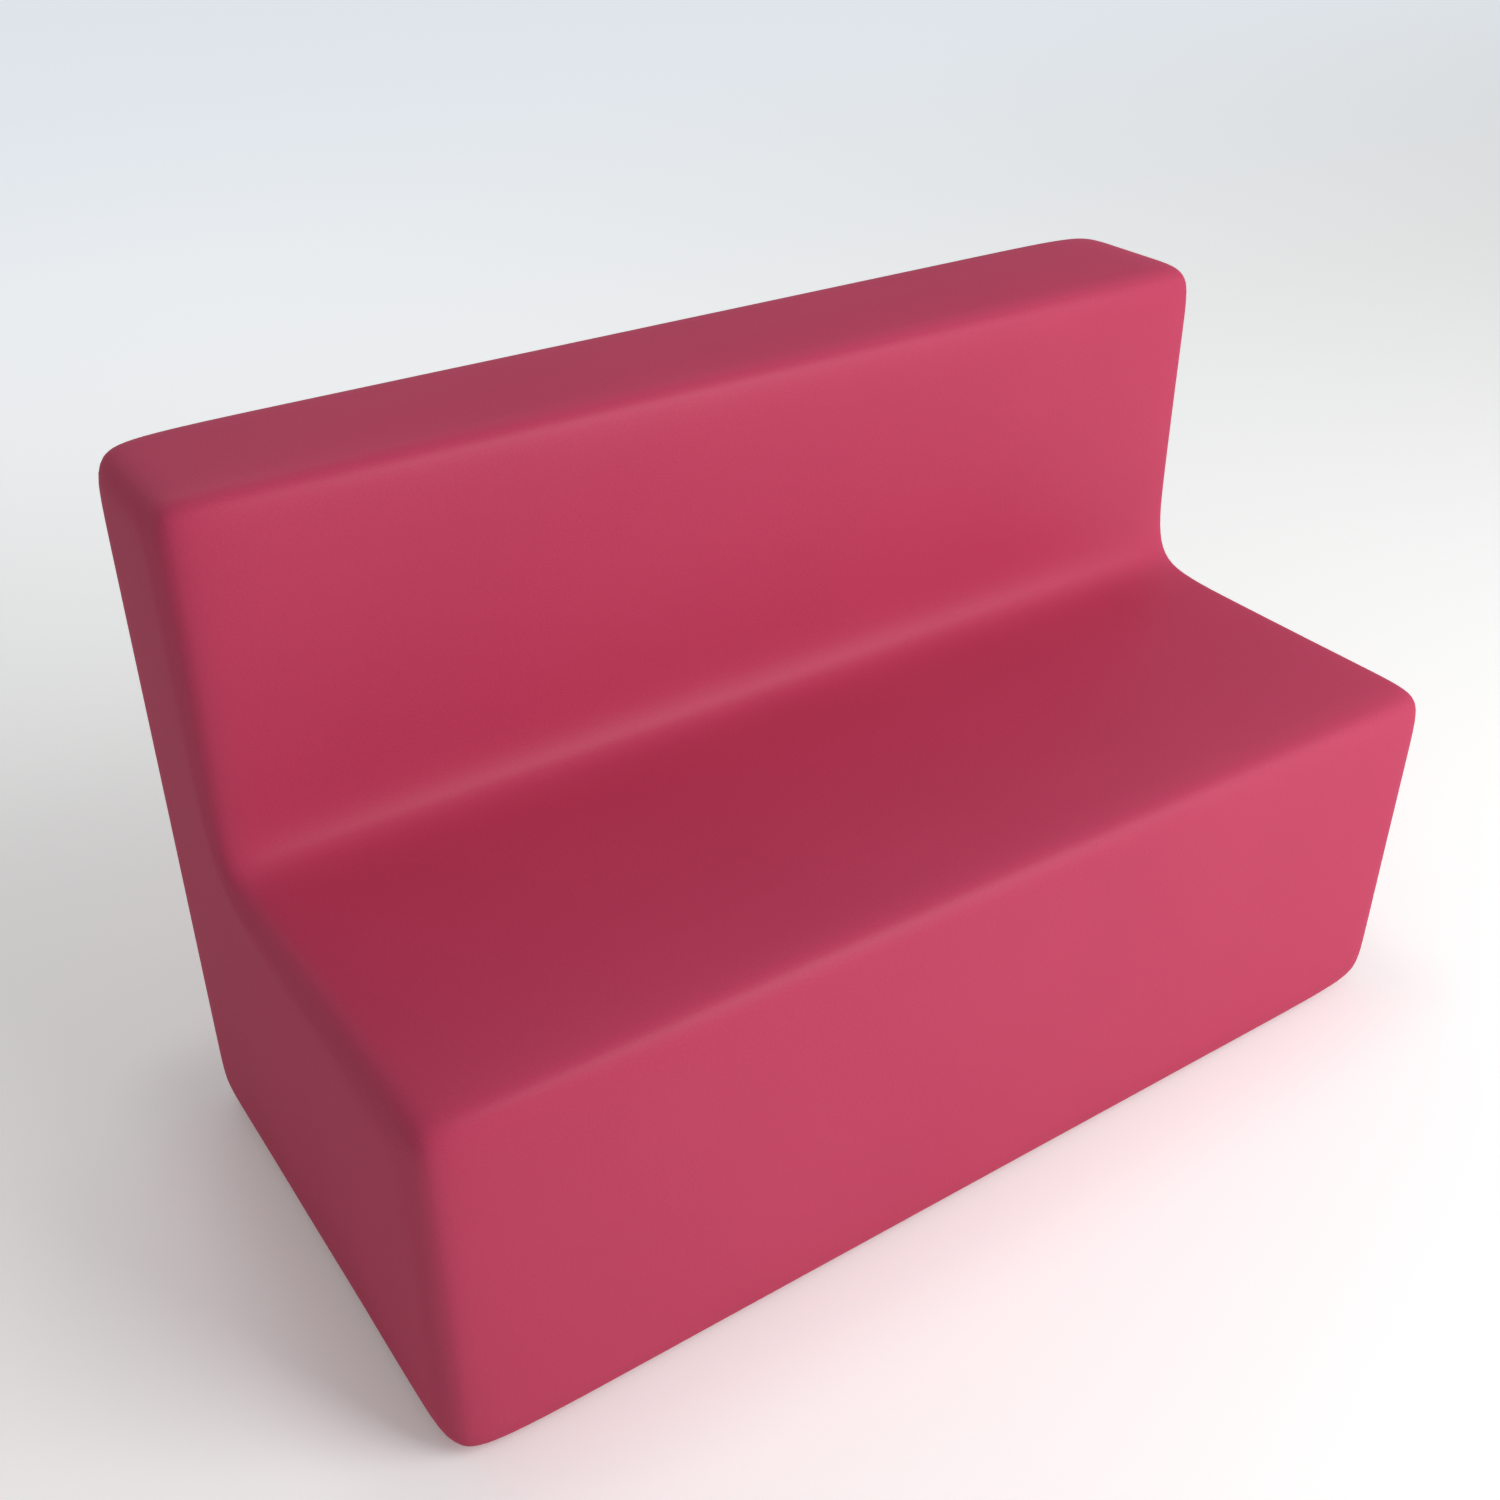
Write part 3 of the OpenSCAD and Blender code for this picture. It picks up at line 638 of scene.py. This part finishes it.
way = np.array([v.co for v in moved.vertices]) - rest
cover.modifiers.remove(pull)
scene.frame_set(1)
# The foam keeps the cloth from moving in, and the cloth stands at most 1.5 mm off its rest
way -= np.minimum(np.sum(way * outward, axis=1), 0)[:, None] * outward
settle = 0.0015
size = np.linalg.norm(way, axis=1)
way *= (settle * np.tanh(size / settle) / np.maximum(size, 1e-9))[:, None]
# Each point takes half of its neighbours' mean way, time and again, so the cloth has no wrinkles
ends = np.array([e.vertices for e in cover.data.edges])
for step in range(evenings):
    total, count = np.zeros_like(way), np.zeros(len(way))
    np.add.at(total, ends[:, 0], way[ends[:, 1]])
    np.add.at(total, ends[:, 1], way[ends[:, 0]])
    np.add.at(count, ends.ravel(), 1)
    way = 0.5 * way + 0.5 * total / count[:, None]
cover.data.vertices.foreach_set("co", (rest + way).ravel())
cover.data.update()
thicken(cover, cover_t, offset=-1)
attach(cover, "root")
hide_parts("cover")


# ---- Dust cloth -----------------------------------------------------------------------------
# A black spunbond cloth closes the underside over the turned-in edge of the cover.
# It is stapled round its rim, with a round hole for each glide's boss, and hangs slightly slack.

low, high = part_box("base_cloth")
glide_low, glide_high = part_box("glides")
glide_r, boss_r = 0.016, 0.0083
glide_xs = np.linspace(glide_low.x + glide_r, glide_high.x - glide_r, 4)
glide_spots = [(x, y) for x in glide_xs for y in (glide_low.y + glide_r, glide_high.y - glide_r)]
rim, rim_step, cloth_pitch = [], 0.02, 0.016
for a, b in (((low.x, low.y), (high.x, low.y)), ((high.x, low.y), (high.x, high.y)),
             ((high.x, high.y), (low.x, high.y)), ((low.x, high.y), (low.x, low.y))):
    steps = round(math.dist(a, b) / rim_step)
    rim += [(a[0] + (b[0] - a[0]) * s / steps, a[1] + (b[1] - a[1]) * s / steps) for s in range(steps)]
turns = np.linspace(0, 2 * math.pi, 20, False)
holes = [[(x + boss_r * math.cos(a), y + boss_r * math.sin(a)) for a in turns] for x, y in glide_spots]


def on_cloth(p):
    """Whether a point lies on the cloth and in none of its holes."""
    inside = low.x < p[0] < high.x and low.y < p[1] < high.y
    return inside and all(math.dist(p, spot) > boss_r * 0.99 for spot in glide_spots)


flat, cloth_faces = filled([rim] + holes, cloth_pitch, on_cloth)
# It hangs freely from 120 mm inside its rim, with gentle waves
free_from, slack, ripple = 0.12, 0.0008, 0.0006
cloth_points = []
for x, y in flat:
    free = min(x - low.x, high.x - x, y - low.y, high.y - y, free_from) / free_from
    wave = math.sin(31 * x + 5 * math.sin(9 * y)) * math.sin(23 * y + 4 * math.sin(7 * x))
    cloth_points.append((x, y, (low.z + high.z) / 2 - free * (slack + ripple * wave)))
dust_cloth = meshed("dust_cloth", cloth_points, cloth_faces, spunbond)
thicken(dust_cloth, spunbond_t)
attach(dust_cloth, "root")
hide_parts("base_cloth")


# ---- Staples --------------------------------------------------------------------------------
# Galvanised wire staples with a 10 mm crown hold the dust cloth and the cover's edge.
# They are shot about every 40 mm, 6 mm inside the cloth's rim, each a little askew.

rim_in = 0.006
staple_sizes = {"Rim width": high.x - low.x - 2 * rim_in, "Rim depth": high.y - low.y - 2 * rim_in,
                "Height": low.z - 0.0001, "Spacing": 0.04, "Crown": 0.010, "Wire width": 0.0012,
                "Wire height": 0.0006, "Askew": 0.16}
staples = bpy.data.node_groups.new("staples round a rim", "GeometryNodeTree")
staples.interface.new_socket("Geometry", in_out="OUTPUT", socket_type="NodeSocketGeometry")
for label, value in staple_sizes.items():
    socket = staples.interface.new_socket(label, in_out="INPUT", socket_type="NodeSocketFloat")
    socket.default_value = value
source = add(staples, "NodeGroupInput")
rim_path = add(staples, "GeometryNodeCurvePrimitiveQuadrilateral",
               links={"Width": source.outputs["Rim width"], "Height": source.outputs["Rim depth"]})
spots = add(staples, "GeometryNodeCurveToPoints", mode="LENGTH",
            links={"Curve": rim_path.outputs[0], "Length": source.outputs["Spacing"]})
wire_size = add(staples, "ShaderNodeCombineXYZ", links={
    0: source.outputs["Wire width"], 1: source.outputs["Crown"], 2: source.outputs["Wire height"]})
wire = add(staples, "GeometryNodeMeshCube", links={"Size": wire_size.outputs[0]})
turn = add(staples, "FunctionNodeAlignRotationToVector", axis="Y",
           links={"Vector": spots.outputs["Tangent"]})
most = add(staples, "ShaderNodeMath", {1: -1.0}, {0: source.outputs["Askew"]}, operation="MULTIPLY")
chance = add(staples, "FunctionNodeRandomValue", {"Seed": 7}, data_type="FLOAT",
             links={2: most.outputs[0], 3: source.outputs["Askew"]})
skewed = add(staples, "ShaderNodeCombineXYZ", links={2: chance.outputs[1]})
tilt = add(staples, "FunctionNodeRotateRotation", rotation_space="GLOBAL",
           links={0: turn.outputs[0], 1: skewed.outputs[0]})
shot = add(staples, "GeometryNodeInstanceOnPoints", links={
    "Points": spots.outputs["Points"], "Instance": wire.outputs[0], "Rotation": tilt.outputs[0]})
real = add(staples, "GeometryNodeRealizeInstances", links={0: shot.outputs[0]})
lift = add(staples, "ShaderNodeCombineXYZ", links={2: source.outputs["Height"]})
set_down = add(staples, "GeometryNodeTransform",
               links={"Geometry": real.outputs[0], "Translation": lift.outputs[0]})
plated = add(staples, "GeometryNodeSetMaterial", {"Material": zinc}, {"Geometry": set_down.outputs[0]})
add(staples, "NodeGroupOutput", links={0: plated.outputs[0]})

maker = bpy.data.objects.new("staple maker", bpy.data.meshes.new("staple maker"))
scene.collection.objects.link(maker)
shooter = maker.modifiers.new("staples", "NODES")
shooter.node_group = staples
for label, value in staple_sizes.items():
    shooter[staples.interface.items_tree[label].identifier] = value
maker.update_tag()
bpy.context.view_layer.update()
staple_mesh = bpy.data.meshes.new_from_object(maker.evaluated_get(bpy.context.evaluated_depsgraph_get()))
staple_mesh.name = "cloth_staples"
cloth_staples = bpy.data.objects.new("cloth_staples", staple_mesh)
scene.collection.objects.link(cloth_staples)
bpy.data.objects.remove(maker)
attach(cloth_staples, "root")


# ---- Glides ---------------------------------------------------------------------------------
# Moulded black polyamide discs under the base rails, each held by one countersunk screw.
# The mould leaves them matt, with a fine grain of about 0.7 mm.

polyamide = bare_material("polyamide, moulded matt black")
t = polyamide.node_tree
place = add(t, "ShaderNodeTexCoord")
texture = add(t, "ShaderNodeTexNoise", {"Scale": 1500.0, "Detail": 3.0}, {0: place.outputs["Object"]})
relief = add(t, "ShaderNodeBump", {"Strength": 0.3, "Distance": 0.0001}, {"Height": texture.outputs[0]})
rough = add(t, "ShaderNodeMapRange", {3: 0.42, 4: 0.58}, {0: texture.outputs[0]})
skin = add(t, "ShaderNodeBsdfPrincipled", {0: paint("#1B1B1D"), "IOR": 1.53},
           {"Roughness": rough.outputs[0], "Normal": relief.outputs[0]})
add(t, "ShaderNodeOutputMaterial", links={0: skin.outputs[0]})
dress(polyamide, "glides")
